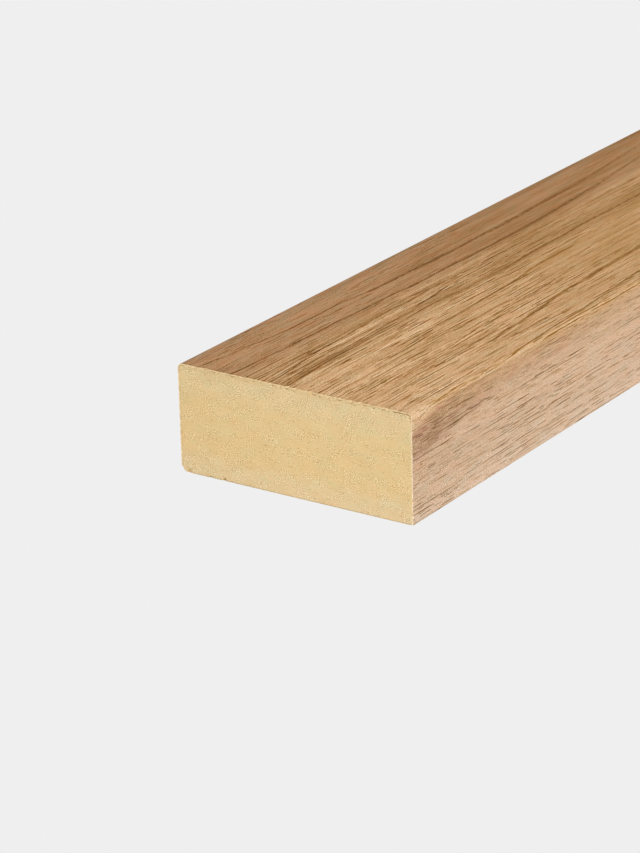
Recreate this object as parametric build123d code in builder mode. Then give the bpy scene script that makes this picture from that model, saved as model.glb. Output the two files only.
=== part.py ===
from build123d import *
import os

# Edge trim strip: a straight rectangular bar of medium-density fibreboard with a
# thin wood-look decor foil wrapped over its top and both sides. Both ends are sawn
# square, so the bare fibreboard and the foil's cut edge show there. The back is bare.
#
# Frame: X across the width, Y along the length, Z up through the thickness.
# The origin is the middle of the back face.

# Driving dimensions, in millimetres
width = 28.0        # over the foil
thickness = 12.0    # over the foil
length = 2400.0     # length as sold
foil = 0.15         # decor foil
corner_r = 0.6      # outside radius of the two wrapped long edges
back_r = 0.2        # eased long edges of the bare back
foil_stop = 0.05    # height of the foil's trimmed lower edges above the back face

# Derived dimensions
core_w = width - 2 * foil
core_t = thickness - foil
core_r = corner_r - foil
end_plane = Plane.XZ.offset(length / 2)   # the sawn end at y = -length / 2

os.makedirs("parts", exist_ok=True)

# The fibreboard bar: wrapped edges rounded to carry the foil, back edges just eased
with BuildPart() as mdf_core:
    with BuildSketch(end_plane) as core_section:
        Rectangle(core_w, core_t, align=(Align.CENTER, Align.MIN))
        fillet(core_section.vertices().group_by(Axis.Y)[-1], core_r)
        fillet(core_section.vertices().group_by(Axis.Y)[0], back_r)
    extrude(amount=-length)

# The decor foil: one film up the left side, over the top and down the right side,
# trimmed just short of the back face
with BuildPart() as decor_foil:
    with BuildSketch(end_plane) as foil_section:
        with BuildLine() as foil_outline:
            outer = FilletPolyline(
                (-width / 2, foil_stop),
                (-width / 2, thickness),
                (width / 2, thickness),
                (width / 2, foil_stop),
                radius=corner_r,
            )
            inner = FilletPolyline(
                (-core_w / 2, foil_stop),
                (-core_w / 2, core_t),
                (core_w / 2, core_t),
                (core_w / 2, foil_stop),
                radius=core_r,
            )
            Line(outer @ 0, inner @ 0)
            Line(outer @ 1, inner @ 1)
        make_face()
    extrude(amount=-length)

mdf_core.part.label = "mdf_core"
decor_foil.part.label = "decor_foil"

export_step(mdf_core.part, "parts/mdf_core.step")
export_step(decor_foil.part, "parts/decor_foil.step")

section_area = core_w * core_t
print(f"core section about {section_area:.1f} mm2, core volume {mdf_core.part.volume / 1000:.1f} cm3")
print(f"foil volume {decor_foil.part.volume / 1000:.1f} cm3")
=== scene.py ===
import math

import bpy
import numpy as np
from mathutils import Matrix, Vector


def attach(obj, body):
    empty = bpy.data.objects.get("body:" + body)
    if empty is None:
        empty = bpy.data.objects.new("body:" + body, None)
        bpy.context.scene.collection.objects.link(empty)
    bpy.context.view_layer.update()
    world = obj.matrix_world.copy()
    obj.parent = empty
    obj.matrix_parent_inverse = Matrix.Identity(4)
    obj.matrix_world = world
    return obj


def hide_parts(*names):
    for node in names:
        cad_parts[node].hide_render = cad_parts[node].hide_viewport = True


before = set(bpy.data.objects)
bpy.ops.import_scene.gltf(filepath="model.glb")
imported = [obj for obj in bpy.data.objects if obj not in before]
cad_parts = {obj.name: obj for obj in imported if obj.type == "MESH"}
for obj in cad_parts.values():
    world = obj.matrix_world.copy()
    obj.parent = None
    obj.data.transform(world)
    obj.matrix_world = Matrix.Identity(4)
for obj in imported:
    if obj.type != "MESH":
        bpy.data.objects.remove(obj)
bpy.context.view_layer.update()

# ---------------------------------------------------------------- sizes, in millimetres
W, T, L = 28.0, 12.0, 2400.0     # over the foil, and the length
FOIL = 0.15                      # decor foil
RO, RI = 0.60, 0.45              # outside and inside radius of the wrapped edges
RB = 0.20                        # eased edges of the bare back
STOP = 0.05                      # the foil stops this far above the back
Y0, Y1 = -L / 2, L / 2           # the two sawn ends
LEAN = 0.33                      # the photographed saw cut is this far out of square over the thickness


def lin(c):
    c = c / 255.0
    return c / 12.92 if c <= 0.04045 else ((c + 0.055) / 1.055) ** 2.4


def rgb(r, g, b):
    return (lin(r), lin(g), lin(b), 1.0)


# ---------------------------------------------------------------- smooth random fields for the meshes
def lattice(seed):
    return np.random.default_rng(seed).random((256, 256))


def field(a, b, seed):
    """Smooth noise from 0 to 1 at the points (a, b), one cell to a unit."""
    g = lattice(seed)
    ia, ib = np.floor(a).astype(int), np.floor(b).astype(int)
    fa, fb = a - ia, b - ib
    fa, fb = fa * fa * (3 - 2 * fa), fb * fb * (3 - 2 * fb)
    p, q = ia % 256, ib % 256
    p1, q1 = (ia + 1) % 256, (ib + 1) % 256
    return (g[p, q] * (1 - fa) + g[p1, q] * fa) * (1 - fb) + (g[p, q1] * (1 - fa) + g[p1, q1] * fa) * fb


def bump(x, at, half):
    """1 at the point, falling smoothly to 0 half a width away."""
    return np.clip(1 - ((x - at) / half) ** 2, 0, 1) ** 2


# ---------------------------------------------------------------- mesh building
class Builder:
    """Collects vertices (mm) and faces with their material, grain coordinates and bake layout."""

    def __init__(self):
        self.co, self.faces, self.mat = [], [], []
        self.grain, self.layout = [], []

    def verts(self, pts):
        start = len(self.co)
        self.co.extend([tuple(p) for p in pts])
        return list(range(start, start + len(pts)))

    def face(self, idx, mat, grain=None, layout=None):
        self.faces.append(tuple(idx))
        self.mat.append(mat)
        self.grain.append(grain or [(0.0, 0.0)] * len(idx))
        self.layout.append(layout or [(0.0, 0.0)] * len(idx))

    def object(self, name, materials, angle=35.0, foil=False):
        self.co = near_end(self.co, foil)
        me = bpy.data.meshes.new(name)
        me.from_pydata([(x / 1000.0, y / 1000.0, z / 1000.0) for x, y, z in self.co], [], self.faces)
        for m in materials:
            me.materials.append(m)
        me.polygons.foreach_set("material_index", np.array(self.mat, np.int32))
        for key, data in (("grain", self.grain), ("OFBake", self.layout)):
            uv = me.uv_layers.new(name=key)
            flat = np.array([c for f in data for p in f for c in p], np.float32)
            uv.data.foreach_set("uv", flat)
        me.polygons.foreach_set("use_smooth", np.ones(len(self.faces), bool))
        me.validate(clean_customdata=False)
        me.set_sharp_from_angle(angle=math.radians(angle))
        me.update()
        ob = bpy.data.objects.new(name, me)
        bpy.context.scene.collection.objects.link(ob)
        return ob


def near_end(pts, foil=False):
    """Shapes the photographed end: its saw cut leans a little, and its lower left corner is knocked round."""
    out = []
    for x, y, z in pts:
        d = y - Y0
        if d < 6.0:
            r = RB + 0.48 * max(0.0, 1 - d / 3.0) ** 1.5
            if foil:
                if x < 0 and z < r + 0.3:
                    low = STOP + (r - RB) * 1.15
                    z = low + (z - STOP) * (r + 0.3 - low) / (r + 0.3 - STOP)
            else:
                cx, cz = -(W / 2 - FOIL) + r, r
                if x < cx and z < cz:
                    far = math.hypot(x - cx, z - cz)
                    if far > r:
                        x, z = cx + (x - cx) * r / far, cz + (z - cz) * r / far
            y = y + LEAN * (1 - z / T) * max(0.0, 1 - d / 6.0)
        out.append((x, y, z))
    return out


def zip_rings(b, fine, coarse, tf, tc, make):
    """Joins a fine closed ring to a coarse one with triangles; tf and tc are their places round the outline, 0 to 1."""
    nf, nc = len(fine), len(coarse)
    i = j = 0
    while i < nf or j < nc:
        ta = tf[i + 1] if i + 1 < nf else tf[0] + 1.0 if i < nf else 9.0
        tb = tc[j + 1] if j + 1 < nc else tc[0] + 1.0 if j < nc else 9.0
        if i < nf and (ta <= tb or j >= nc):
            make([fine[i % nf], fine[(i + 1) % nf], coarse[j % nc]])
            i += 1
        else:
            make([fine[i % nf], coarse[(j + 1) % nc], coarse[j % nc]])
            j += 1


# ---------------------------------------------------------------- the fibreboard core
def core_half(z, rt):
    """Half width of the core's section at height z; rt is the radius of its wrapped edges."""
    hw, top = W / 2 - FOIL, T - FOIL
    out = np.full_like(z, hw)
    low = z < RB
    out[low] = hw - RB + np.sqrt(np.maximum(0, RB**2 - (RB - z[low]) ** 2))
    high = z > top - rt
    out[high] = hw - rt + np.sqrt(np.maximum(0, rt**2 - (z[high] - (top - rt)) ** 2))
    return out


def sawn_relief(x, z, seed):
    """How far the sawn fibreboard face lies behind the saw's plane, in mm."""
    top = T - FOIL
    d = 0.010 * field(x / 0.9, z / 0.5, seed) + 0.011 * field(x / 0.42, z / 0.26, seed + 1)
    d += 0.007 * field(x / 0.21, z / 0.15, seed + 2)
    # short fibre tufts and the pits they leave
    tuft = field(x / 0.33, z / 0.14, seed + 3)
    d += 0.055 * np.clip((tuft - 0.70) / 0.30, 0, 1) ** 1.5 * (0.4 + 0.6 * field(x / 3.1, z / 1.7, seed + 4))
    # the saw leaves the outer skin a little ragged under the foil
    under = np.clip(1 - (top - z) / 0.42, 0, 1)
    rag = field(x / 0.50, z / 0.30, seed + 5)
    d += 0.10 * under * np.clip((rag - 0.52) / 0.48, 0, 1)
    # eased edges all round
    edge = np.minimum(np.minimum(W / 2 - FOIL - np.abs(x), z), top - z)
    d += 0.035 * np.clip(1 - edge / 0.12, 0, 1) ** 2
    return d


def near_pits(x, z):
    """Chips and the opened glue line that show at the photographed end, in mm behind the saw's plane."""
    top = T - FOIL
    u = x + W / 2
    d = np.zeros_like(x)
    # glue line opened under the foil round the right corner
    rt = 0.52
    cx, cz = W / 2 - FOIL - rt, top - rt
    deep = np.where((x > cx) & (z > cz), rt - np.hypot(x - cx, z - cz), np.minimum(top - z, W / 2 - FOIL - x))
    line = bump(deep, 0.10, 0.10)
    d += 0.16 * line * np.clip((u - 25.6) / 0.4, 0, 1) * np.clip((z - top + 1.1) / 0.3, 0, 1)
    d += 0.10 * bump(u, 26.6, 0.5) * bump(z, top - 0.26, 0.10)
    # pits along the glue line
    for at, half, depth, drop in (
        (19.6, 0.42, 0.12, 0.15), (20.9, 0.30, 0.16, 0.20), (21.4, 0.14, 0.16, 0.27), (22.5, 0.46, 0.17, 0.15),
        (22.8, 0.15, 0.14, 0.44), (23.5, 0.20, 0.19, 0.24), (23.8, 0.13, 0.16, 0.58), (24.6, 0.55, 0.15, 0.14),
        (25.2, 0.16, 0.14, 0.30), (9.3, 0.50, 0.12, 0.14), (11.6, 0.36, 0.12, 0.15), (13.3, 0.44, 0.17, 0.16),
        (14.1, 0.18, 0.17, 0.24), (16.5, 0.60, 0.15, 0.16), (17.2, 0.16, 0.19, 0.26), (4.4, 0.34, 0.12, 0.14),
        (6.7, 0.40, 0.13, 0.13), (8.5, 0.15, 0.12, 0.32),
    ):
        d += 0.9 * depth * bump(u, at, 0.8 * half) * bump(z, top - drop, 0.11)
    # two small knocks on the bottom edge
    d += 0.17 * bump(u, 0.95, 0.50) * bump(z, 0.20, 0.35)
    d += 0.22 * bump(u, 5.30, 0.30) * bump(z, 0.12, 0.24)
    d += 0.18 * bump(u, 3.60, 0.22) * bump(z, 0.06, 0.20)
    return d


def core_outline(rt, n_top, n_side, n_arc):
    """Closed outline of the core's section, anticlockwise seen from -Y, starting at the bottom left."""
    hw, top = W / 2 - FOIL, T - FOIL
    pts = []
    for k in range(n_top):
        pts.append((-hw + RB + (2 * hw - 2 * RB) * k / n_top, 0.0))
    for k in range(n_arc):
        a = math.pi / 2 * k / n_arc
        pts.append((hw - RB + RB * math.sin(a), RB - RB * math.cos(a)))
    for k in range(n_side):
        pts.append((hw, RB + (top - rt - RB) * k / n_side))
    for k in range(n_arc):
        a = math.pi / 2 * k / n_arc
        pts.append((hw - rt + rt * math.cos(a), top - rt + rt * math.sin(a)))
    for k in range(n_top):
        pts.append((hw - rt - (2 * hw - 2 * rt) * k / n_top, top))
    for k in range(n_arc):
        a = math.pi / 2 * k / n_arc
        pts.append((-hw + rt - rt * math.sin(a), top - rt + rt * math.cos(a)))
    for k in range(n_side):
        pts.append((-hw, top - rt - (top - rt - RB) * k / n_side))
    for k in range(n_arc):
        a = math.pi / 2 * k / n_arc
        pts.append((-hw + RB - RB * math.cos(a), RB - RB * math.sin(a)))
    return pts


def round_place(pts):
    """Each point's place round its closed outline, 0 to 1."""
    p = np.array(pts + [pts[0]], float)
    s = np.concatenate([[0], np.cumsum(np.linalg.norm(np.diff(p, axis=0), axis=1))])
    return s[:-1] / s[-1]


def build_core(mats):
    b = Builder()
    rt = 0.52
    top = T - FOIL

    def end_grid(y_end, inward, nx, step, seed, pits):
        zs = [0.0, 0.025, 0.06, 0.11, RB]
        z = RB
        while z < top - 0.72:
            z += step
            zs.append(z)
        rest = np.linspace(z, top, 13)[1:]
        zs = np.array(zs + list(rest))
        hw = core_half(zs, rt)
        fx = np.linspace(-1, 1, nx + 1)
        X = hw[:, None] * fx[None]
        Z = np.repeat(zs[:, None], nx + 1, 1)
        D = sawn_relief(X, Z, seed)
        if pits:
            D = D + near_pits(X, Z)
        Y = y_end + inward * D
        ids = np.array(b.verts(np.stack([X.ravel(), Y.ravel(), Z.ravel()], 1))).reshape(X.shape)
        nz = len(zs) - 1
        for j in range(nz):
            for i in range(nx):
                q = [ids[j, i], ids[j, i + 1], ids[j + 1, i + 1], ids[j + 1, i]]
                g = [(X[j, i], zs[j]), (X[j, i + 1], zs[j]), (X[j + 1, i + 1], zs[j + 1]), (X[j + 1, i], zs[j + 1])]
                deep = [(float(D[j, i]), 0.0), (float(D[j, i + 1]), 0.0), (float(D[j + 1, i + 1]), 0.0), (float(D[j + 1, i]), 0.0)]
                if inward < 0:
                    q, g, deep = q[::-1], g[::-1], deep[::-1]
                b.face([int(v) for v in q], 0, deep, [lay_end(gx, gz, inward) for gx, gz in g])
        ring = [ids[0, i] for i in range(nx)] + [ids[j, nx] for j in range(nz)]
        ring += [ids[nz, i] for i in range(nx, 0, -1)] + [ids[j, 0] for j in range(nz, 0, -1)]
        return [int(v) for v in ring]

    outline = core_outline(rt, 14, 6, 4)
    place_c = round_place(outline)

    def body_lay(k, y, mid):
        s = place_c[k % len(outline)] + (1.0 if k >= len(outline) else 0.0)
        return lay_core(s, y, mid)

    ys = [Y0 + 1.2, Y0 + 25.0] + list(np.arange(Y0 + 50, Y1 - 49, 50.0)) + [Y1 - 25.0, Y1 - 1.2]
    rows = [b.verts([(x, y, z) for x, z in outline]) for y in ys]
    n = len(outline)
    for r in range(len(ys) - 1):
        for k in range(n):
            k1 = (k + 1) % n
            q = [rows[r][k], rows[r][k1], rows[r + 1][k1], rows[r + 1][k]]
            half = (ys[r] + ys[r + 1]) / 2
            lay = [body_lay(k, ys[r], half), body_lay(k + 1, ys[r], half), body_lay(k + 1, ys[r + 1], half), body_lay(k, ys[r + 1], half)]
            b.face(q[::-1], 1, None, lay[::-1])

    for y_end, inward, nx, step, seed, pits, row in (
        (Y0, 1, 264, 0.115, 11, True, rows[0]),
        (Y1, -1, 176, 0.17, 53, False, rows[-1]),
    ):
        ring = end_grid(y_end, inward, nx, step, seed, pits)
        pts = [(b.co[v][0], b.co[v][2]) for v in ring]
        place_f = round_place(pts)
        mid = b.verts([(x, y_end + inward * 0.45, z) for x, z in pts])
        near = y_end + inward
        m = len(ring)
        for k in range(m):
            k1 = (k + 1) % m
            q = [ring[k], ring[k1], mid[k1], mid[k]]
            s0 = place_f[k]
            s1 = place_f[k1] if k1 else 1.0
            lay = [lay_core(s0, y_end, near), lay_core(s1, y_end, near), lay_core(s1, y_end + inward * 0.45, near), lay_core(s0, y_end + inward * 0.45, near)]
            if inward > 0:
                q, lay = q[::-1], lay[::-1]
            b.face(q, 0, None, lay)
        place = {}
        for v, s in zip(mid, place_f):
            place[v] = (s, y_end + inward * 0.45)
        for v, s in zip(row, place_c):
            place[v] = (s, y_end + inward * 1.2)

        def make(t):
            ss = [place[v][0] for v in t]
            if max(ss) - min(ss) > 0.5:
                ss = [s + 1.0 if s < 0.5 else s for s in ss]
            lay = [lay_core(s, place[v][1], near) for s, v in zip(ss, t)]
            if inward > 0:
                t, lay = t[::-1], lay[::-1]
            b.face(t, 1, None, lay)

        zip_rings(b, mid, row, list(place_f), list(place_c), make)
    return b.object("fibreboard_core", mats, 40.0)


# ---------------------------------------------------------------- the decor foil
def foil_curve(n_side, n_top, n_arc, r, off):
    """The foil's line in section from the left lower edge over the top to the right lower edge.
    Returns (x, z, grain), where grain is the distance across the unrolled print, 0 at the top's left edge."""
    hw, top = W / 2 - off, T - off
    out = []
    for k in range(n_side):
        z = STOP + (top - r - STOP) * k / n_side
        out.append((-hw, z, -(T - (STOP + (T - RO - STOP) * k / n_side))))
    for k in range(n_arc):
        a = math.pi / 2 * k / n_arc
        out.append((-hw + r - r * math.cos(a), top - r + r * math.sin(a), -RO + 2 * RO * k / n_arc))
    for k in range(n_top):
        f = k / n_top
        out.append((-hw + r + (2 * hw - 2 * r) * f, top, RO + (W - 2 * RO) * f))
    for k in range(n_arc):
        a = math.pi / 2 * k / n_arc
        out.append((hw - r + r * math.sin(a), top - r + r * math.cos(a), W - RO + 2 * RO * k / n_arc))
    for k in range(n_side + 1):
        z = top - r - (top - r - STOP) * k / n_side
        out.append((hw, z, W + RO + (T - RO - STOP) * k / n_side))
    return out


def build_foil(mats):
    b = Builder()

    def loop(n_side, n_top, n_arc):
        outer = foil_curve(n_side, n_top, n_arc, RO, 0.0)
        inner = foil_curve(n_side, n_top, n_arc, RI, FOIL)
        return outer, inner

    co, ci = loop(6, 14, 6)
    ys = [Y0 + 1.4, Y0 + 12.5] + list(np.arange(Y0 + 25, Y1 - 24, 25.0)) + [Y1 - 12.5, Y1 - 1.4]
    n = len(co)
    rows_o = [b.verts([(x, y, z) for x, z, g in co]) for y in ys]
    rows_i = [b.verts([(x, y, z) for x, z, g in ci]) for y in ys]
    for r in range(len(ys) - 1):
        ya, yb = ys[r], ys[r + 1]
        for k in range(n - 1):
            ga, gb = co[k][2], co[k + 1][2]
            q = [rows_o[r][k], rows_o[r + 1][k], rows_o[r + 1][k + 1], rows_o[r][k + 1]]
            g = [(ga, ya - Y0), (ga, yb - Y0), (gb, yb - Y0), (gb, ya - Y0)]
            mid = (ya + yb) / 2
            b.face(q[::-1], 0, g[::-1], [lay_foil(s, v + Y0, mid) for s, v in g][::-1])
            q = [rows_i[r][k], rows_i[r][k + 1], rows_i[r + 1][k + 1], rows_i[r + 1][k]]
            b.face(q[::-1], 1, None, [lay_hidden(ga, ya), lay_hidden(gb, ya), lay_hidden(gb, yb), lay_hidden(ga, yb)][::-1])
        for k, flip in ((0, False), (n - 1, True)):
            q = [rows_o[r][k], rows_i[r][k], rows_i[r + 1][k], rows_o[r + 1][k]]
            lay = [lay_strip(flip, 0, ya), lay_strip(flip, 1, ya), lay_strip(flip, 1, yb), lay_strip(flip, 0, yb)]
            if not flip:
                q, lay = q[::-1], lay[::-1]
            b.face(q, 1, None, lay)

    for y_end, inward, dens, seed, near in ((Y0, 1, 1.0, 31, True), (Y1, -1, 0.6, 77, False)):
        fo, fi = loop(int(130 * dens), int(330 * dens), int(14 * dens))
        m = len(fo)
        s = np.array([p[2] for p in fo])
        # a sawn foil edge: very slightly uneven, with small torn nicks
        rag = 0.020 * field(s / 0.35 + 40, np.zeros_like(s), seed) + 0.020 * field(s / 0.12 + 40, np.zeros_like(s), seed + 1)
        nick = field(s / 0.22 + 90, np.zeros_like(s), seed + 2)
        rag += 0.16 * np.clip((nick - 0.80) / 0.20, 0, 1) ** 1.4
        if near:
            for at, half, depth in ((3.3, 0.16, 0.10), (9.6, 0.20, 0.18), (11.4, 0.22, 0.16), (13.5, 0.24, 0.26), (14.4, 0.2, 0.2),
                                    (16.2, 0.22, 0.22), (18.0, 0.16, 0.12), (21.0, 0.14, 0.10), (24.8, 0.14, 0.12)):
                rag += depth * bump(s, at, half)
        levels = [0.0, 0.06, 0.18, 0.45]
        ring_rows = []
        for lv in levels:
            d = lv + rag * max(0.0, 1 - lv / 0.45)
            o = b.verts([(x, y_end + inward * float(dd), z) for (x, z, g), dd in zip(fo, d)])
            di = d + (0.012 if lv == 0.0 else 0.0)
            i = b.verts([(x, y_end + inward * float(dd), z) for (x, z, g), dd in zip(fi, di)])
            ring_rows.append((o, i, d))
        for r in range(len(levels) - 1):
            (o0, i0, d0), (o1, i1, d1) = ring_rows[r], ring_rows[r + 1]
            for k in range(m - 1):
                ga, gb = fo[k][2], fo[k + 1][2]
                va, vb = y_end + inward * d0, y_end + inward * d1
                q = [o0[k], o1[k], o1[k + 1], o0[k + 1]]
                g = [(ga, va[k] - Y0), (ga, vb[k] - Y0), (gb, vb[k + 1] - Y0), (gb, va[k + 1] - Y0)]
                lay = [lay_foil(sg, v + Y0, y_end + inward) for sg, v in g]
                q2 = [i0[k], i0[k + 1], i1[k + 1], i1[k]]
                lay2 = [lay_hidden(ga, va[k]), lay_hidden(gb, va[k + 1]), lay_hidden(gb, vb[k + 1]), lay_hidden(ga, vb[k])]
                if inward > 0:
                    q, g, lay, q2, lay2 = q[::-1], g[::-1], lay[::-1], q2[::-1], lay2[::-1]
                b.face(q, 0, g, lay)
                b.face(q2, 1, None, lay2)
            for k, flip in ((0, False), (m - 1, True)):
                q = [o0[k], i0[k], i1[k], o1[k]]
                ya, yb = y_end + inward * levels[r], y_end + inward * levels[r + 1]
                lay = [lay_strip(flip, 0, ya), lay_strip(flip, 1, ya), lay_strip(flip, 1, yb), lay_strip(flip, 0, yb)]
                if flip != (inward > 0):
                    q, lay = q[::-1], lay[::-1]
                b.face(q, 1, None, lay)
        # the cut edge itself
        o0, i0, d0 = ring_rows[0]
        for k in range(m - 1):
            q = [o0[k], o0[k + 1], i0[k + 1], i0[k]]
            lay = [lay_cut(s[k], 0, inward), lay_cut(s[k + 1], 0, inward), lay_cut(s[k + 1], 1, inward), lay_cut(s[k], 1, inward)]
            if inward > 0:
                q, lay = q[::-1], lay[::-1]
            b.face(q, 2, None, lay)
        # down to the coarse rows, outside and inside
        o1, i1, d1 = ring_rows[-1]
        co_row, ci_row = (rows_o[0], rows_i[0]) if inward > 0 else (rows_o[-1], rows_i[-1])
        y_f, y_c = y_end + inward * 0.45, y_end + inward * 1.4
        for fine, coarse, outer in ((o1, co_row, True), (i1, ci_row, False)):
            i = j = 0
            gf, gc = [p[2] for p in fo], [p[2] for p in co]
            while i < m - 1 or j < n - 1:
                if j >= n - 1 or (i < m - 1 and gf[i + 1] <= gc[j + 1] + 1e-9):
                    t = [fine[i], fine[i + 1], coarse[j]]
                    g = [(gf[i], y_f - Y0), (gf[i + 1], y_f - Y0), (gc[j], y_c - Y0)]
                    i += 1
                else:
                    t = [fine[i], coarse[j + 1], coarse[j]]
                    g = [(gf[i], y_f - Y0), (gc[j + 1], y_c - Y0), (gc[j], y_c - Y0)]
                    j += 1
                if outer:
                    lay = [lay_foil(sg, v + Y0, y_end + inward) for sg, v in g]
                else:
                    lay = [lay_hidden(sg, v + Y0) for sg, v in g]
                if outer == (inward > 0):
                    b.face(t, 0 if outer else 1, g if outer else None, lay)
                else:
                    b.face(t[::-1], 0 if outer else 1, g[::-1] if outer else None, lay[::-1])
        for k, kc, flip in ((0, 0, False), (m - 1, n - 1, True)):
            q = [o1[k], i1[k], ci_row[kc], co_row[kc]]
            lay = [lay_strip(flip, 0, y_f), lay_strip(flip, 1, y_f), lay_strip(flip, 1, y_c), lay_strip(flip, 0, y_c)]
            if flip != (inward > 0):
                q, lay = q[::-1], lay[::-1]
            b.face(q, 1, None, lay)
    return b.object("wood_decor_foil", mats, 50.0, foil=True)


# ---------------------------------------------------------------- bake layouts, in pixels of a 1024 pixel map
def at_pixel(x, y):
    return (x / 1024.0, y / 1024.0)


def run_of(y, mid, cuts):
    """Which run of the length the face round mid belongs to, and the point's place along it, 0 to 1."""
    k = sum(mid - Y0 > c for c in cuts[1:-1])
    return k, (y - Y0 - cuts[k]) / (cuts[k + 1] - cuts[k])


def lay_end(x, z, inward):
    """The two sawn faces of the core, the photographed one larger."""
    if inward > 0:
        return at_pixel(3 + (x + 13.85) * 26.0, 3 + z * 26.0)
    return at_pixel(727 + (x + 13.85) * 10.6, 3 + z * 10.6)


CORE_CUTS = (0, 400, 800, 1200, 1600, 2000, 2400)
BACK = (W - 2 * FOIL - 2 * RB) / 78.37     # the back's share of the section's outline


def lay_core(s, y, mid):
    """The bare back in six runs, each with a narrow band for what the foil covers."""
    k, f = run_of(y, mid, CORE_CUTS)
    s = min(s, 1.0)
    up = s / BACK * 105.0 if s < BACK else 105.0 + (s - BACK) / (1 - BACK) * 7.0
    return at_pixel(3 + f * 1018, 318 + k * 115 + up)


FOIL_CUTS = (0, 200, 750, 1300, 1850, 2400)


def lay_foil(s, y, mid):
    """The print, unrolled: the first 200 mm in one large run, and the rest in four."""
    k, f = run_of(y, mid, FOIL_CUTS)
    low, tall = (3, 359) if k == 0 else (365 + (k - 1) * 153, 150)
    return at_pixel(3 + f * 1018, low + (s + T) / (W + 2 * T) * tall)


def lay_hidden(s, y):
    """The foil's glued side."""
    return at_pixel(3 + (y - Y0) / L * 1018, 978 + (s + T) / (W + 2 * T) * 12)


def lay_strip(flip, k, y):
    """The foil's two lower edges."""
    return at_pixel(3 + (y - Y0) / L * 1018, (993 if flip else 998) + k * 2)


def lay_cut(s, k, inward):
    """The foil's sawn edges."""
    return at_pixel(3 + (s + T) / (W + 2 * T) * 1018, (1003 if inward > 0 else 1010) + k * 4)


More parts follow.
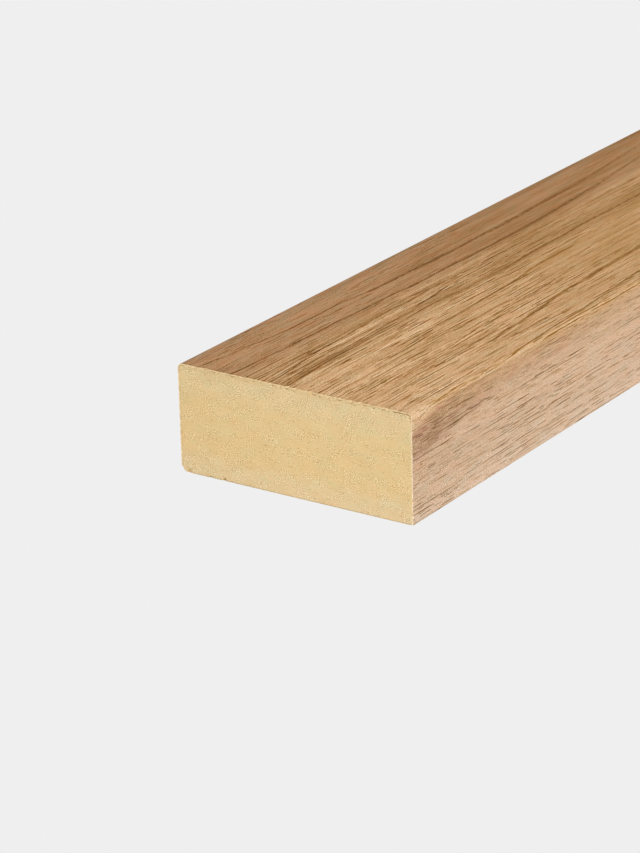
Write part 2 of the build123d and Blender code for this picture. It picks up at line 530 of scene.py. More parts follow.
# ---------------------------------------------------------------- material helpers
class Shade:
    def __init__(self, name):
        self.mat = bpy.data.materials.new(name)
        self.mat.use_nodes = True
        self.t = self.mat.node_tree
        self.t.nodes.clear()
        self.out = self.t.nodes.new("ShaderNodeOutputMaterial")
        self.bsdf = self.t.nodes.new("ShaderNodeBsdfPrincipled")
        self.t.links.new(self.bsdf.outputs[0], self.out.inputs[0])

    def link(self, value, socket):
        if isinstance(value, bpy.types.NodeSocket):
            self.t.links.new(value, socket)
        else:
            socket.default_value = value

    def math(self, op, a, b=None, c=None, clamp=False):
        n = self.t.nodes.new("ShaderNodeMath")
        n.operation = op
        n.use_clamp = clamp
        self.link(a, n.inputs[0])
        if b is not None:
            self.link(b, n.inputs[1])
        if c is not None:
            self.link(c, n.inputs[2])
        return n.outputs[0]

    def add(self, *v):
        out = v[0]
        for x in v[1:]:
            out = self.math("ADD", out, x)
        return out

    def mul(self, *v):
        out = v[0]
        for x in v[1:]:
            out = self.math("MULTIPLY", out, x)
        return out

    def vec(self, x, y, z=0.0):
        n = self.t.nodes.new("ShaderNodeCombineXYZ")
        for s, v in zip(n.inputs, (x, y, z)):
            self.link(v, s)
        return n.outputs[0]

    def split(self, v):
        n = self.t.nodes.new("ShaderNodeSeparateXYZ")
        self.link(v, n.inputs[0])
        return n.outputs[0], n.outputs[1], n.outputs[2]

    def grain(self):
        n = self.t.nodes.new("ShaderNodeUVMap")
        n.uv_map = "grain"
        x, y, z = self.split(n.outputs[0])
        return x, y

    def position(self):
        n = self.t.nodes.new("ShaderNodeTexCoord")
        x, y, z = self.split(n.outputs["Object"])
        return [self.mul(v, 1000.0) for v in (x, y, z)]

    def noise(self, vector, scale=1.0, detail=2.0, rough=0.5, distortion=0.0, dims="3D", kind="FBM"):
        n = self.t.nodes.new("ShaderNodeTexNoise")
        n.noise_dimensions = dims
        n.noise_type = kind
        self.link(vector, n.inputs["Vector"])
        n.inputs["Scale"].default_value = scale
        n.inputs["Detail"].default_value = detail
        n.inputs["Roughness"].default_value = rough
        n.inputs["Distortion"].default_value = distortion
        return n.outputs[0]

    def voronoi(self, vector, scale=1.0, random=1.0):
        n = self.t.nodes.new("ShaderNodeTexVoronoi")
        n.voronoi_dimensions = "3D"
        n.feature = "F1"
        self.link(vector, n.inputs["Vector"])
        n.inputs["Scale"].default_value = scale
        n.inputs["Randomness"].default_value = random
        return n.outputs["Distance"], n.outputs["Color"]

    def white(self, vector):
        n = self.t.nodes.new("ShaderNodeTexWhiteNoise")
        n.noise_dimensions = "3D"
        self.link(vector, n.inputs["Vector"])
        return self.split(n.outputs["Color"])

    def range(self, v, a, b, c=0.0, d=1.0, smooth=True):
        n = self.t.nodes.new("ShaderNodeMapRange")
        n.interpolation_type = "SMOOTHSTEP" if smooth else "LINEAR"
        n.clamp = True
        self.link(v, n.inputs["Value"])
        for s, x in zip(("From Min", "From Max", "To Min", "To Max"), (a, b, c, d)):
            self.link(x, n.inputs[s])
        return n.outputs[0]

    def curve(self, v, points, lo, hi):
        """A drawn curve through points (place, value), where place runs 0 to 1 and value lo to hi."""
        n = self.t.nodes.new("ShaderNodeFloatCurve")
        self.link(v, n.inputs["Value"])
        c = n.mapping.curves[0]
        pts = [(x, (y - lo) / (hi - lo)) for x, y in points]
        while len(c.points) < len(pts):
            c.points.new(0.5, 0.5)
        for p, (x, y) in zip(c.points, pts):
            p.location = (x, y)
            p.handle_type = "AUTO_CLAMPED"
        n.mapping.extend = "HORIZONTAL"
        n.mapping.update()
        return self.math("MULTIPLY_ADD", n.outputs[0], hi - lo, lo)

    def ramp(self, v, stops):
        n = self.t.nodes.new("ShaderNodeValToRGB")
        self.link(v, n.inputs[0])
        r = n.color_ramp
        r.interpolation = "LINEAR"
        while len(r.elements) < len(stops):
            r.elements.new(0.5)
        for e, (p, c) in zip(r.elements, stops):
            e.position = p
            e.color = c
        return n.outputs[0]

    def darken(self, colour, t, k, tint=None, kt=(-0.35, 0.25, 0.60), deep=0.0, blush=None, lean=None):
        """Each channel is multiplied by exp(-k t), and by exp(-kt tint) for a slow change of hue.
        deep adds to the blue's k where t is over 0, and blush takes from it, which turns the shade pinker.
        lean, from 0 to 1, brings the three closer together, as a pale sheen over the print does."""
        s = self.t.nodes.new("ShaderNodeSeparateColor")
        self.link(colour, s.inputs[0])
        c = self.t.nodes.new("ShaderNodeCombineColor")
        for i in range(3):
            e = self.mul(t, -k[i])
            if i == 2 and deep:
                e = self.math("MULTIPLY_ADD", self.math("MAXIMUM", t, 0.0), -deep, e)
            if lean is not None and i:
                e = self.math("MULTIPLY_ADD", self.mul(t, lean), (0.0, 0.10, 0.46)[i], e)
            if blush is not None and i != 1:
                e = self.math("MULTIPLY_ADD", blush, (0.10, 0.0, 0.85)[i], e)
            if tint is not None:
                e = self.math("MULTIPLY_ADD", tint, -kt[i], e)
            self.link(self.mul(s.outputs[i], self.math("EXPONENT", e)), c.inputs[i])
        return c.outputs[0]

    def relief(self, height, strength, distance):
        n = self.t.nodes.new("ShaderNodeBump")
        n.inputs["Strength"].default_value = strength
        n.inputs["Distance"].default_value = distance
        self.link(height, n.inputs["Height"])
        self.link(n.outputs[0], self.bsdf.inputs["Normal"])


# Growth lines drawn on the print near the sawn end: half width (mm), then points
# (distance from the end, place across, strength), all in millimetres
LINES = [
    (0.27, [(0, 2.6, .36), (2.5, 2.85, .34), (5, 3.2, .16), (8, 3.4, .20), (10.5, 3.75, .36), (13, 3.95, .20), (17, 4.2, .38), (25, 4.25, .26),
            (27, 4.5, .16), (30, 4.8, .34), (36, 4.9, .34), (41, 5.1, .36), (50, 5.15, .20), (60, 5.1, .26), (70, 4.85, .26), (76, 4.7, .16),
            (92, 3.6, .26), (110, 2.6, .0)]),
    (0.26, [(0, 6.45, .42), (3, 6.7, .50), (8, 6.85, .46), (9.5, 6.9, .24), (11, 6.95, .46), (16, 7.1, .42), (19, 7.15, .34), (22, 7.3, .26),
            (25, 7.45, .40), (30, 7.45, .36), (33, 7.65, .42), (38, 7.75, .28), (44, 7.85, .30), (52, 7.9, .28), (60, 7.8, .23), (70, 7.3, .26),
            (80, 6.7, .24), (95, 5.4, .12), (110, 4.8, .0)]),
    (0.24, [(0, 9.35, .56), (3, 9.5, .48), (6, 9.5, .40), (8.5, 9.5, .44), (10.2, 9.5, .0)]),
    (0.16, [(0, 9.75, .34), (3, 9.8, .10), (7, 9.2, .0)]),
    (0.24, [(0, 11.25, .36), (2.5, 11.1, .40), (6, 10.8, .46), (8, 10.6, .30), (10.5, 10.35, .50), (14, 10.2, .46), (17, 10.1, .26),
            (22, 9.95, .26), (26, 9.95, .30), (28.5, 10.1, .44), (31, 10.0, .20), (34, 9.9, .26), (38, 10.0, .10), (65, 10.2, .06), (110, 10.4, .0)]),
    (0.13, [(0, 10.4, .30), (4, 10.3, .24), (9, 9.95, .30), (16, 9.7, .24), (20, 9.6, .0)]),
    (0.16, [(0, 12.7, .20), (2, 12.35, .46), (6, 12.25, .40), (10, 12.2, .40), (14, 12.15, .46), (17, 12.1, .66), (23, 12.1, .62), (25, 12.1, .08),
            (28, 11.65, .26), (33, 11.2, .40), (36, 11.0, .10), (38, 10.9, .0)]),
    (0.15, [(0, 13.0, .22), (3, 12.72, .46), (7, 12.55, .40), (11, 12.48, .42), (15, 12.45, .54), (18, 12.5, .66), (22, 12.5, .56), (25, 12.6, .10),
            (30, 12.65, .24), (34, 12.5, .10), (38, 12.4, .0)]),
    (0.20, [(0, 13.3, .62), (4, 13.08, .62), (8, 12.9, .62), (10, 12.85, .46), (14, 12.8, .40), (18, 12.85, .42), (22, 12.9, .30), (26, 12.75, .28),
            (32, 12.9, .34), (36, 13.2, .26), (40, 13.1, .14), (45, 13.2, .24), (50, 12.95, .44), (57, 13.0, .36), (62, 12.85, .40), (70, 13.05, .34),
            (76, 13.1, .28), (110, 13.3, .0)]),
    (0.95, [(0, 12.9, .04), (6, 12.6, .07), (22, 12.5, .07), (27, 12.6, .03), (32, 13.3, .08), (37, 13.2, .05), (43, 13.1, .02), (51, 13.0, .02), (58, 13.0, .04), (76, 13.1, .05), (110, 13.2, .0)]),
    (0.50, [(0, 11.6, .0), (8, 11.4, .04), (13, 11.3, .11), (20, 11.7, .13), (24, 11.9, .09), (28, 11.8, .0)]),
    (0.50, [(0, 24.9, .0), (18, 24.9, .0), (22, 24.8, .10), (27, 24.5, .09), (31, 24.2, .0)]),
    (0.36, [(0, 14.5, .0), (7.8, 14.5, .02), (9.3, 14.5, .46), (10.8, 14.4, .04), (16, 14.4, .10), (22, 14.2, .0)]),
    (0.22, [(0, 17.0, .0), (14.5, 16.6, .02), (17, 16.55, .34), (20, 16.6, .34), (23, 16.6, .26), (27, 16.7, .52), (31, 16.65, .38), (34, 16.5, .52),
            (37, 16.4, .46), (41, 16.3, .40), (44, 16.0, .26), (49, 15.8, .18), (54, 15.7, .0)]),
    (0.18, [(0, 17.4, .0), (16.0, 17.3, .04), (17.5, 17.3, .56), (20, 17.1, .48), (22.4, 17.0, .0)]),
    (0.14, [(0, 17.6, .0), (16.6, 17.7, .04), (18.2, 17.6, .50), (20, 17.6, .0)]),
    (0.18, [(0, 17.2, .0), (10.6, 17.2, .04), (12.2, 17.35, .50), (14.2, 17.6, .0)]),
    (0.16, [(0, 18.8, .05), (8, 18.4, .26), (14, 18.4, .22), (20, 18.6, .14), (24, 19.0, .36), (31, 19.0, .34), (36, 19.3, .0)]),
    (0.15, [(0, 21.8, .0), (5, 21.5, .10), (7, 21.4, .46), (9, 21.5, .20), (13, 21.1, .18), (18, 21.2, .30), (22, 20.9, .18),
            (24.5, 20.7, .34), (28, 20.4, .30), (33, 20.1, .26), (36, 20.1, .26), (42, 19.9, .20), (48, 19.7, .0)]),
    (0.15, [(0, 22.2, .08), (8, 21.9, .06), (9.5, 21.7, .38), (16, 21.5, .20), (21, 21.2, .0)]),
    (0.15, [(0, 23.1, .0), (12, 22.9, .06), (14, 22.95, .42), (18, 22.9, .26), (22, 22.7, .24), (27, 22.6, .0)]),
    (0.14, [(0, 23.4, .0), (14, 23.35, .04), (16, 23.3, .40), (18.6, 23.3, .36), (21, 23.4, .0)]),
    (0.30, [(0, 24.2, .0), (20, 23.9, .04), (23, 23.9, .38), (26.5, 23.45, .46), (29.5, 23.6, .34), (32, 23.3, .44), (35.5, 23.05, .46), (39, 22.75, .34),
            (42, 22.6, .36), (44, 22.6, .28), (49, 22.4, .56), (52, 22.5, .26), (56, 22.4, .36), (62, 22.3, .16), (110, 22.0, .0)]),
    (0.16, [(0, 24.9, .12), (2.5, 25.1, .40), (6, 24.9, .26), (10, 24.7, .05), (22, 25.2, .04), (25, 25.0, .36), (28, 25.2, .34), (33, 25.2, .0)]),
    (0.17, [(0, 29.6, .0), (2.5, 28.6, .16), (4.5, 28.15, .34), (8, 27.95, .32), (9.5, 28.0, .04), (12, 28.1, .15), (15, 28.0, .10), (18, 28.0, .28),
            (21.5, 27.75, .46), (24, 27.55, .40), (27, 27.4, .52), (30, 27.25, .44), (34, 27.15, .46), (40, 26.9, .26), (50, 26.3, .26), (58, 26.0, .0)]),
]


def decor_material():
    m = Shade("wood_decor_print")
    s, v = m.grain()
    near = m.mul(v, 1.0 / 110.0)

    # small unsteadiness of every line
    w1 = m.noise(m.vec(m.mul(s, 0.8), m.mul(v, 0.10), 3.0), detail=2)
    w2 = m.noise(m.vec(m.mul(s, 3.2), m.mul(v, 0.9), 9.0), detail=1)
    wob = m.add(m.mul(m.add(w1, -0.5), 0.50), m.mul(m.add(w2, -0.5), 0.07))
    sw = m.add(s, wob)

    # the bands wander more and more away from the sawn end
    drift = m.noise(m.vec(m.mul(v, 1 / 260.0), 2.7, 0.0), detail=1)
    away = m.range(v, 60.0, 420.0)
    sb = m.add(s, m.mul(m.add(drift, -0.5), away, 14.0))
    place = m.mul(m.add(sb, 12.0), 1 / 52.0)

    # how strongly lines, soft shading and bands show across the print
    def zone(*pts):
        return m.curve(place, [((a + 12.0) / 52.0, q) for a, q in pts], 0.0, 2.0)

    z_line = zone((-12, 1.72), (-1, 1.40), (1, 0.66), (8, 0.70), (10, 1.38), (14, 1.44), (20, 1.30), (26, 1.30), (29, 1.50), (40, 1.72))
    z_soft = zone((-12, 0.12), (-1, 0.20), (1, 0.38), (7, 0.38), (10, 0.70), (14, 0.52), (26, 0.44), (29, 0.20), (40, 0.12))
    z_band = zone((-12, 0.40), (-1, 0.50), (1, 1.05), (8, 1.12), (10, 1.50), (14, 1.30), (19, 1.00), (26, 0.85), (30, 0.60), (40, 0.38))
    patch = m.range(m.noise(m.vec(m.mul(s, 0.50), m.mul(v, 0.07), 71.0), detail=2, rough=0.6), 0.36, 0.60, 0.28, 1.34)
    calm = m.add(1.0, m.mul(m.range(v, 32.0, 70.0), m.range(v, 260.0, 130.0), -0.72))

    # the fibres run a little askew on the two sides, and are thinner and sparser there
    sf = m.add(sw, m.mul(m.math("MAXIMUM", m.add(s, -28.5), 0.0), 0.28), m.mul(m.math("MINIMUM", m.add(s, 0.5), 0.0), 0.28),
               m.mul(m.range(s, 29.0, 31.0), v, 0.018), m.mul(m.range(s, -1.0, -3.0), v, -0.018))

    onside = m.add(m.range(s, 28.3, 29.0), m.range(s, -0.3, -1.0))
    slim = m.add(1.0, m.mul(onside, -0.45))

    # soft fibre shading, long and short, and the fine tooth of the print
    f0 = m.noise(m.vec(m.mul(sf, 4.4), m.mul(v, 0.09), 11.0), detail=1, rough=0.6)
    f1 = m.noise(m.vec(m.mul(sf, 6.2), m.mul(v, 0.50), 0.0), detail=1, rough=0.6)
    f4 = m.noise(m.vec(m.mul(sf, 8.0), m.mul(v, 5.4), 27.0), detail=1, rough=0.7)
    f2 = m.noise(m.vec(m.mul(s, 1.7), m.mul(v, 0.08), 5.0), detail=2, rough=0.55)
    f3 = m.noise(m.vec(m.mul(s, 0.62), m.mul(v, 0.03), 15.0), detail=2, rough=0.55)
    fine = m.mul(m.add(m.mul(m.add(m.mul(f0, 1.15), m.mul(f1, 0.80), -0.975), z_soft, 0.80), m.mul(m.add(f4, -0.5), m.add(1.55, m.mul(onside, 0.20)), m.range(v, 150.0, 230.0, 1.0, 0.30))), calm)
    band = m.mul(m.add(m.mul(m.add(f2, -0.5), m.range(v, 32.0, 80.0, 0.60, 0.44)), m.mul(m.add(f3, -0.5), m.range(v, 32.0, 80.0, 0.40, 0.80))), z_band)

    # thin dark dashes in lanes along the grain, each with its own place, length and strength
    pale = m.add(-0.10, m.mul(onside, 0.07))
    def dashes(lane, run, half, seed, bare, spare):
        x = m.mul(sf, 1 / lane)
        i = m.math("FLOOR", x)
        r, g, c = m.white(m.vec(i, seed, 0.5))
        y = m.add(m.mul(v, 1 / run), m.mul(r, 7.0))
        j = m.math("FLOOR", y)
        q1, q2, q3 = m.white(m.vec(i, j, seed))
        off = m.mul(m.add(x, m.mul(i, -1.0), -0.5, m.mul(m.add(q1, -0.5), -0.5), m.mul(m.add(y, m.mul(j, -1.0), -0.5), m.add(q3, -0.5), -0.35)), lane)
        far = m.math("ABSOLUTE", m.add(y, m.mul(j, -1.0), -0.5))
        reach = m.add(0.16, m.mul(q2, 0.33))
        ends = m.range(m.math("DIVIDE", far, reach), 1.0, 0.55)
        gap = m.math("DIVIDE", m.math("ABSOLUTE", off), slim)
        line = m.range(gap, m.add(half * 0.7, m.mul(q1, half * 0.6)), half * 0.15)
        line = m.math("MULTIPLY_ADD", m.range(gap, half * 2.4, half * 1.1), pale, line)
        return m.mul(line, ends, m.range(q3, m.add(bare, m.mul(onside, spare)), 1.0, 0.0, 1.0, smooth=False))

    d1 = dashes(0.62, 12.0, 0.120, 3.0, 0.15, 0.40)
    d2 = dashes(0.43, 5.4, 0.098, 5.0, 0.20, 0.25)
    d3 = dashes(0.33, 2.6, 0.088, 8.0, 0.35, 0.10)
    d1 = m.mul(d1, m.add(0.95, m.mul(onside, -0.05)))
    d2 = m.mul(d2, m.add(1.10, m.mul(onside, 0.46)))
    d3 = m.mul(d3, m.add(1.05, m.mul(onside, 0.62)))
    stroke = m.math("MINIMUM", m.add(d1, d2, d3), m.add(1.15, onside))
    stroke = m.mul(stroke, z_line, patch, calm, 0.98)

    # drawn growth lines near the end
    hatch = m.range(m.noise(m.vec(m.mul(sf, 3.2), m.mul(v, 0.55), 91.0), detail=1), 0.30, 0.68, 1.34, 0.66)
    widen = m.range(v, 12.0, 66.0, 1.0, 2.2)
    total = None
    for half, pts in LINES:
        at = m.curve(near, [(p[0] / 110.0, p[1]) for p in pts], 0.0, 40.0)
        power = m.curve(near, [(p[0] / 110.0, p[2]) for p in pts], 0.0, 1.0)
        off = m.math("ABSOLUTE", m.math("SUBTRACT", sw, at))
        one = m.mul(m.range(m.math("DIVIDE", off, widen), half * 0.68, half * 0.10), power)
        total = one if total is None else m.math("MAXIMUM", total, one)
    total = m.mul(total, m.range(v, 110.0, 70.0))
    broken = m.range(m.noise(m.vec(m.mul(sf, 6.8), m.mul(v, 1.1), 66.0), detail=1), 0.36, 0.60, 1.42, 0.52)
    drawn = m.mul(total, hatch, broken, m.range(v, 36.0, 60.0, 2.60, 2.30))

    # the same kind of lines, free-running, over the rest of the length
    wide = m.noise(m.vec(m.mul(s, 0.16), m.mul(v, 1 / 210.0), 21.0), detail=2)
    sg = m.add(sw, m.mul(m.add(wide, -0.5), 9.0))
    g1 = m.noise(m.vec(m.mul(sg, 0.62), m.mul(v, 1 / 170.0), 31.0), detail=2, rough=0.6)
    lines = m.range(m.math("ABSOLUTE", m.add(g1, -0.5)), 0.035, 0.0)
    fade = m.range(m.noise(m.vec(m.mul(sg, 0.3), m.mul(v, 1 / 34.0), 44.0), detail=1), 0.40, 0.62)
    free = m.mul(lines, fade, hatch, m.range(v, 60.0, 115.0, 0.10, 0.50), m.add(1.0, m.mul(onside, -0.60)))

    # the top runs slightly darker away from the end
    ontop = m.mul(m.range(s, -0.5, 0.5), m.range(s, 28.5, 27.0))
    slow = m.mul(m.range(s, -0.5, 0.5), m.range(s, 29.0, 26.4), m.range(v, 0.0, 85.0), 0.20)

    # a darker flame on the right side, below a pale heart at the corner
    upper = m.curve(near, [(0.0, 30.1), (2 / 110, 29.5), (5 / 110, 28.7), (10 / 110, 28.3), (25 / 110, 28.4), (38 / 110, 28.9), (50 / 110, 29.0), (1.0, 29.2)], 20.0, 40.0)
    lower = m.curve(near, [(0.0, 33.1), (4 / 110, 32.5), (9 / 110, 31.7), (14 / 110, 31.1), (28 / 110, 30.9), (38 / 110, 30.3), (50 / 110, 29.4), (1.0, 29.2)], 20.0, 40.0)
    power = m.curve(near, [(0.0, 0.30), (4 / 110, 0.31), (9 / 110, 0.22), (14 / 110, 0.15), (20 / 110, 0.12), (40 / 110, 0.09), (60 / 110, 0.0), (1.0, 0.0)], 0.0, 1.0)
    inside = m.mul(m.range(m.math("SUBTRACT", sw, upper), -0.35, 0.75), m.range(m.math("SUBTRACT", sw, lower), 1.0, -0.7))
    streaks = m.range(m.noise(m.vec(m.mul(sf, 2.1), m.mul(v, 0.55), 55.0), detail=3, rough=0.6), 0.62, 0.36, 0.45, 1.55)
    flame = m.mul(inside, power, streaks)
    heart = m.mul(m.range(m.math("SUBTRACT", sw, upper), 0.3, -0.5), m.range(s, 26.0, 28.6), m.range(v, 7.0, 1.0), -0.12)

    # and a painted highlight: the fine bright line along the rounded edge, where the heart's edge runs
    rim = m.curve(near, [(0.0, 29.3), (1.5 / 110, 28.9), (3 / 110, 28.45), (5 / 110, 28.25), (9 / 110, 28.2), (15 / 110, 28.3), (25 / 110, 28.2), (1.0, 27.5)], 20.0, 40.0)
    glint = m.mul(m.range(m.math("ABSOLUTE", m.math("SUBTRACT", m.add(sw, m.mul(wob, 0.6)), rim)), 0.20, 0.04), m.range(v, 1.0, 3.0), m.range(v, 22.0, 6.0), m.range(broken, 0.6, 1.3, 0.1, 1.0), -0.22)

    # the saw's edge is slightly bruised, and the lower edges carry a painted shade where they come down to the floor
    sawn = m.mul(m.range(v, 0.36, 0.05), ontop, 0.16)
    painted_foot_shade = m.mul(m.add(m.range(s, 39.62, 39.92), m.range(s, -11.62, -11.92)), m.range(v, 2.0, 12.0, 0.24, 0.08))

    soften = m.mul(m.range(s, 26.9, 28.0), m.range(s, 29.2, 28.4), m.range(v, 9.0, 34.0, 0.0, 0.11))
    warm = m.mul(onside, m.range(v, 17.0, 3.0), 0.026)
    # painted shade: the print is a shade darker over the left rounded edge, which turns away from the light
    painted_edge_shade = m.add(m.mul(m.range(s, 0.42, 0.05), m.range(s, -1.1, -0.5), 0.13), m.mul(m.range(s, 1.5, 0.2), m.range(s, -1.6, -0.6), m.range(v, 24.0, 2.0), 0.06))
    t = m.add(soften, fine, band, stroke, drawn, free, slow, flame, heart, glint, sawn, painted_foot_shade, warm, painted_edge_shade, -0.085)
    t = m.math("MULTIPLY_ADD", m.mul(m.math("MINIMUM", m.add(t, 0.06), 0.0), m.range(s, -0.5, 0.5), m.range(s, 9.0, 6.5)), -0.45, t)
    t = m.math("MULTIPLY_ADD", m.math("MAXIMUM", m.add(t, -0.58, m.mul(onside, m.range(v, 110.0, 200.0, -0.45, -0.10))), 0.0), -0.55, t)

    # slow colour across the print; the sides are paler and greyer than the top, a painted sheen
    stops = [
        (-12.0, (205, 174, 146)), (-6.0, (202, 168, 137)), (-1.2, (191, 152, 114)),
        (0.6, (167, 127, 89)), (2.4, (174, 130, 88)), (7.4, (171, 127, 84)), (9.4, (188, 145, 100)),
        (13.4, (185, 142, 95)), (15.0, (200, 157, 111)), (24.5, (200, 157, 111)), (28.6, (201, 161, 119)),
        (31.0, (202, 166, 133)), (34.0, (203, 169, 139)), (38.2, (205, 174, 146)), (40.0, (212, 184, 160)),
    ]
    # the side's pinker colour and its painted sheen reach a little over the edge, away from the end
    reach = m.mul(m.range(s, 24.5, 28.0), m.range(s, 31.0, 29.0), m.range(v, 34.0, 58.0), 0.9 / 52)
    base = m.ramp(m.add(place, reach), [((a + 12) / 52, rgb(*c)) for a, c in stops])
    tint = m.add(m.noise(m.vec(m.mul(s, 0.9), m.mul(v, 0.28), 83.0), detail=2), -0.5)
    # on the sides the lean greys the shading, as part of the painted sheen
    lean = m.add(onside, m.mul(m.range(s, 9.5, 6.5), m.range(s, -1.0, -0.3), -0.40))
    colour = m.darken(base, t, (1.0, 1.36, 1.90), m.mul(tint, m.add(0.46, m.mul(m.range(s, 9.5, 6.5), 0.34))), deep=0.88, blush=m.mul(flame, m.add(0.60, m.mul(tint, 2.2))), lean=lean)
    m.link(colour, m.bsdf.inputs["Base Color"])
    m.link(m.range(m.add(f1, m.mul(stroke, 0.4)), 0.2, 0.9, 0.50, 0.66), m.bsdf.inputs["Roughness"])
    m.bsdf.inputs["Specular IOR Level"].default_value = 0.13
    height = m.math("SUBTRACT", m.mul(f1, 0.35), stroke)
    m.relief(height, 0.35, 0.00006)
    return m.mat


def board_material(name, back):
    m = Shade(name)
    x, y, z = m.position()
    a, c = (x, z) if not back else (x, y)
    pit, rest = m.grain()
    seed = 0.0 if not back else 50.0
    dep = m.mul(y, 0.8)
    # fibres lie flat in the board, so every speck is drawn out along it
    n1 = m.noise(m.vec(m.mul(a, 1.9), m.mul(c, 3.4), dep), detail=3, rough=0.65)
    n2 = m.noise(m.vec(m.mul(a, 0.42), m.mul(c, 0.75), seed), detail=2)
    n3 = m.noise(m.vec(m.mul(a, 9.6), m.mul(c, 13.5), seed + 3.0), detail=1, rough=0.6)
    d, col = m.voronoi(m.vec(m.mul(a, 1.7), m.mul(c, 3.4), seed + 9.0))
    r, g, b = m.split(col)
    speck = m.mul(m.range(d, 0.30, 0.10), m.range(r, 0.72, 0.78))
    n4 = m.noise(m.vec(m.mul(a, 0.52), m.mul(c, 0.90), seed + 21.0), detail=3, rough=0.62)
    patch = m.range(n4, 0.40, 0.60, 0.12, 1.45)
    # fine scratches of the saw teeth, in patches and at their own slant
    slant = m.add(m.mul(n2, 5.0), -2.5)
    n5 = m.noise(m.vec(m.add(m.mul(a, 2.6), m.mul(c, 1.3), slant), m.add(m.mul(c, 10.0), m.mul(a, -3.4)), seed + 41.0), detail=1, rough=0.6)
    n6 = m.noise(m.vec(m.add(m.mul(a, 2.4), m.mul(c, -1.6), slant), m.add(m.mul(c, 9.6), m.mul(a, 5.2)), seed + 47.0), detail=1, rough=0.6)
    which = m.range(m.noise(m.vec(m.mul(a, 0.8), m.mul(c, 1.1), seed + 51.0), detail=1), 0.46, 0.54)
    n5 = m.add(m.mul(n5, m.add(1.0, m.mul(which, -1.0))), m.mul(n6, which))
    crisp, mottle = (0.42, 0.26) if back else (1.0, 0.05)
    t = m.add(m.mul(m.add(n1, -0.5), patch, mottle), m.mul(m.add(n1, -0.5), 0.05), m.mul(m.add(n3, -0.5), patch, 2.00 * crisp), m.mul(m.add(n5, -0.5), patch, 0.62 * crisp), m.mul(m.add(n3, -0.5), 0.50 * crisp), m.mul(m.add(n2, -0.5), 0.20), m.mul(speck, 0.24))
    if back:
        base = rgb(219, 190, 144)
    else:
        stops = [(0.0, (224, 200, 157)), (1.6, (225, 200, 154)), (3.0, (226, 197, 144)), (8.4, (226, 198, 145)), (10.2, (225, 199, 150)), (12.0, (222, 196, 149))]
        base = m.ramp(m.mul(m.add(z, m.mul(m.add(n2, -0.5), 2.0)), 1 / 12.0), [(p / 12.0, rgb(*q)) for p, q in stops])
        # the saw's face is a little paler towards one side
        t = m.add(t, m.range(x, -14.0, 0.0, 0.046, 0.002, smooth=False), m.range(x, 0.0, 14.0, 0.0, -0.012, smooth=False))
        # the board is darker right under the glued foil, here and there much more so
        g = m.noise(m.vec(m.mul(x, 1.7), m.mul(z, 4.5), 61.0), detail=2, rough=0.7)
        t = m.add(t, m.mul(m.range(z, 11.30, 11.78), m.range(x, 13.6, 13.0), m.add(0.05, m.range(g, 0.50, 0.68, 0.0, 0.22))))
        # painted shade: pits are darker the deeper they are, and so is the lower edge next to the floor
        t = m.add(t, m.range(pit, 0.07, 0.24, 0.0, 0.42), m.mul(m.range(z, 0.22, 0.02), 0.20))
    # the shade reaches further below the mean than above it
    t = m.add(m.math("MULTIPLY_ADD", m.math("MINIMUM", t, 0.0), -0.32, t), m.mul(m.math("MAXIMUM", t, 0.0), 0.12), -0.010)
    tint = m.add(m.noise(m.vec(m.mul(a, 0.9), m.mul(c, 1.5), seed + 33.0), detail=1), -0.5)
    broad = m.add(m.noise(m.vec(m.mul(a, 0.40), m.mul(c, 0.62), seed + 37.0), detail=1), -0.5)
    colour = m.darken(base, t, (0.8, 1.0, 1.45), m.add(m.mul(tint, 0.20), m.mul(broad, 0.22)))
    m.link(colour, m.bsdf.inputs["Base Color"])
    m.link(m.range(n1, 0.3, 0.7, 0.86, 0.96), m.bsdf.inputs["Roughness"])
    m.bsdf.inputs["Specular IOR Level"].default_value = 0.12
    m.relief(m.add(n1, m.mul(n3, 0.6)), 0.35, 0.00006)
    return m.mat


def cut_material():
    m = Shade("foil_cut_edge")
    x, y, z = m.position()
    n = m.noise(m.vec(m.mul(x, 2.2), m.mul(y, 0.2), m.mul(z, 2.2)), detail=3)
    top = m.ramp(n, [(0.30, rgb(208, 177, 130)), (0.50, rgb(229, 200, 153)), (0.72, rgb(243, 220, 177))])
    side = m.ramp(n, [(0.30, rgb(228, 200, 160)), (0.50, rgb(243, 219, 184)), (0.72, rgb(252, 233, 205))])
    f = m.mul(m.range(x, 13.2, 13.75), m.range(z, 11.95, 11.6))
    mix = m.t.nodes.new("ShaderNodeMix")
    mix.data_type = "RGBA"
    m.link(f, mix.inputs[0])
    m.link(top, mix.inputs[6])
    m.link(side, mix.inputs[7])
    m.link(mix.outputs[2], m.bsdf.inputs["Base Color"])
    m.bsdf.inputs["Roughness"].default_value = 0.75
    m.bsdf.inputs["Specular IOR Level"].default_value = 0.2
    return m.mat


def foil_back_material():
    m = Shade("foil_back")
    x, y, z = m.position()
    n = m.noise(m.vec(m.mul(x, 0.12), m.mul(y, 0.02), m.mul(z, 0.12)), detail=2)
    m.link(m.ramp(n, [(0.3, rgb(206, 184, 152)), (0.7, rgb(222, 202, 172))]), m.bsdf.inputs["Base Color"])
    m.bsdf.inputs["Roughness"].default_value = 0.85
    return m.mat


# ---------------------------------------------------------------- pieces
core = build_core([board_material("fibreboard_sawn", False), board_material("fibreboard_back", True)])
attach(core, "root")
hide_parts("mdf_core")

foil = build_foil([decor_material(), foil_back_material(), cut_material()])
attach(foil, "root")
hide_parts("decor_foil")

# ---------------------------------------------------------------- floor, world, lights, camera
PALE = lin(239)
scene = bpy.context.scene
scene.view_settings.view_transform = "Standard"
scene.view_settings.look = "None"
scene.view_settings.exposure = 0.0
scene.view_settings.gamma = 1.0

world = bpy.data.worlds.new("studio")
scene.world = world
world.use_nodes = True
wt = world.node_tree
bg = wt.nodes["Background"]
bg.inputs[0].default_value = (1.0, 1.0, 1.0, 1.0)
bg.inputs[1].default_value = 0.55
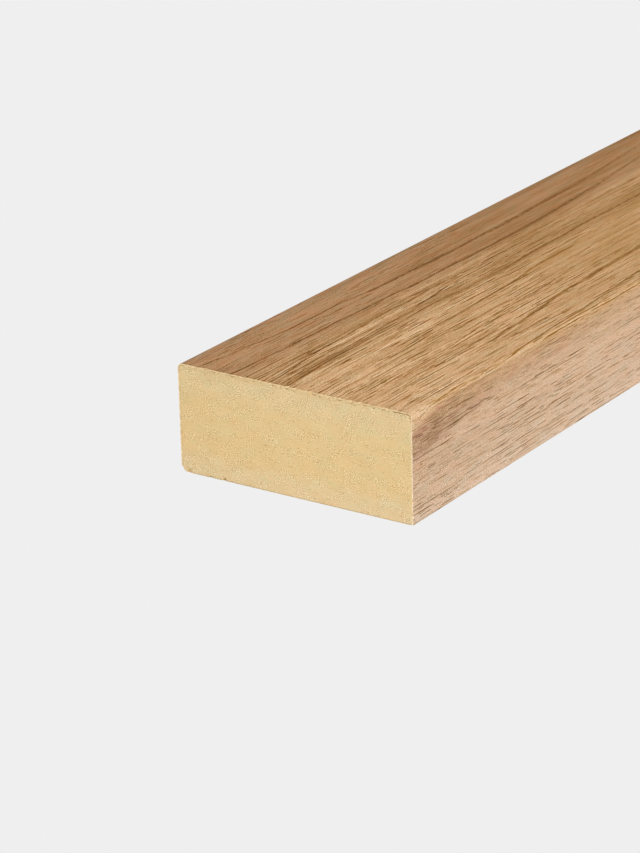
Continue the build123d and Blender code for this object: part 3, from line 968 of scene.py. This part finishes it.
# seen directly, the studio is as pale as the floor
seen = wt.nodes.new("ShaderNodeBackground")
seen.inputs[0].default_value = (1.0, 1.0, 1.0, 1.0)
seen.inputs[1].default_value = PALE
path = wt.nodes.new("ShaderNodeLightPath")
mix = wt.nodes.new("ShaderNodeMixShader")
wt.links.new(path.outputs["Is Camera Ray"], mix.inputs[0])
wt.links.new(bg.outputs[0], mix.inputs[1])
wt.links.new(seen.outputs[0], mix.inputs[2])
wt.links.new(mix.outputs[0], wt.nodes["World Output"].inputs[0])

sun = bpy.data.lights.new("softbox", "SUN")
sun.energy = 1.94
sun.angle = math.radians(24.0)
key = bpy.data.objects.new("softbox", sun)
scene.collection.objects.link(key)
key.rotation_mode = "QUATERNION"
key.rotation_quaternion = Vector((0.485, -0.485, 0.728)).to_track_quat("Z", "Y")

me = bpy.data.meshes.new("floor")
R = 60.0
me.from_pydata([(-R, -R, 0.0), (R, -R, 0.0), (R, R, 0.0), (-R, R, 0.0)], [], [(0, 1, 2, 3)])
floor = bpy.data.objects.new("floor", me)
scene.collection.objects.link(floor)
fm = bpy.data.materials.new("pale_floor")
fm.use_nodes = True
t = fm.node_tree
t.nodes.clear()
out = t.nodes.new("ShaderNodeOutputMaterial")
glow = t.nodes.new("ShaderNodeEmission")
glow.inputs[0].default_value = (1.0, 1.0, 1.0, 1.0)
glow.inputs[1].default_value = PALE
matt = t.nodes.new("ShaderNodeBsdfDiffuse")
matt.inputs[0].default_value = (0.86, 0.86, 0.86, 1.0)
path = t.nodes.new("ShaderNodeLightPath")
mix = t.nodes.new("ShaderNodeMixShader")
t.links.new(path.outputs["Is Camera Ray"], mix.inputs[0])
t.links.new(matt.outputs[0], mix.inputs[1])
t.links.new(glow.outputs[0], mix.inputs[2])
t.links.new(mix.outputs[0], out.inputs[0])
me.materials.append(fm)

AZ, EL, ROLL = math.radians(33.0192258), math.radians(21.1013147), math.radians(0.5081654)
back = Vector((math.sin(AZ) * math.cos(EL), -math.cos(AZ) * math.cos(EL), math.sin(EL)))
fwd = -back
right = fwd.cross(Vector((0, 0, 1))).normalized()
down = fwd.cross(right)
r2 = right * math.cos(ROLL) + down * math.sin(ROLL)
d2 = down * math.cos(ROLL) - right * math.sin(ROLL)
cd = bpy.data.cameras.new("camera")
cd.sensor_fit = "AUTO"
cd.sensor_width = 36.0
cd.lens = 3436.754 / 853.0 * 36.0
cd.clip_start, cd.clip_end = 0.01, 100.0
cam = bpy.data.objects.new("camera", cd)
scene.collection.objects.link(cam)
m3 = Matrix((r2, -d2, -fwd)).transposed()
cam.matrix_world = Matrix.Translation((0.1776681, -1.4683405, 0.1320158)) @ m3.to_4x4()
scene.camera = cam
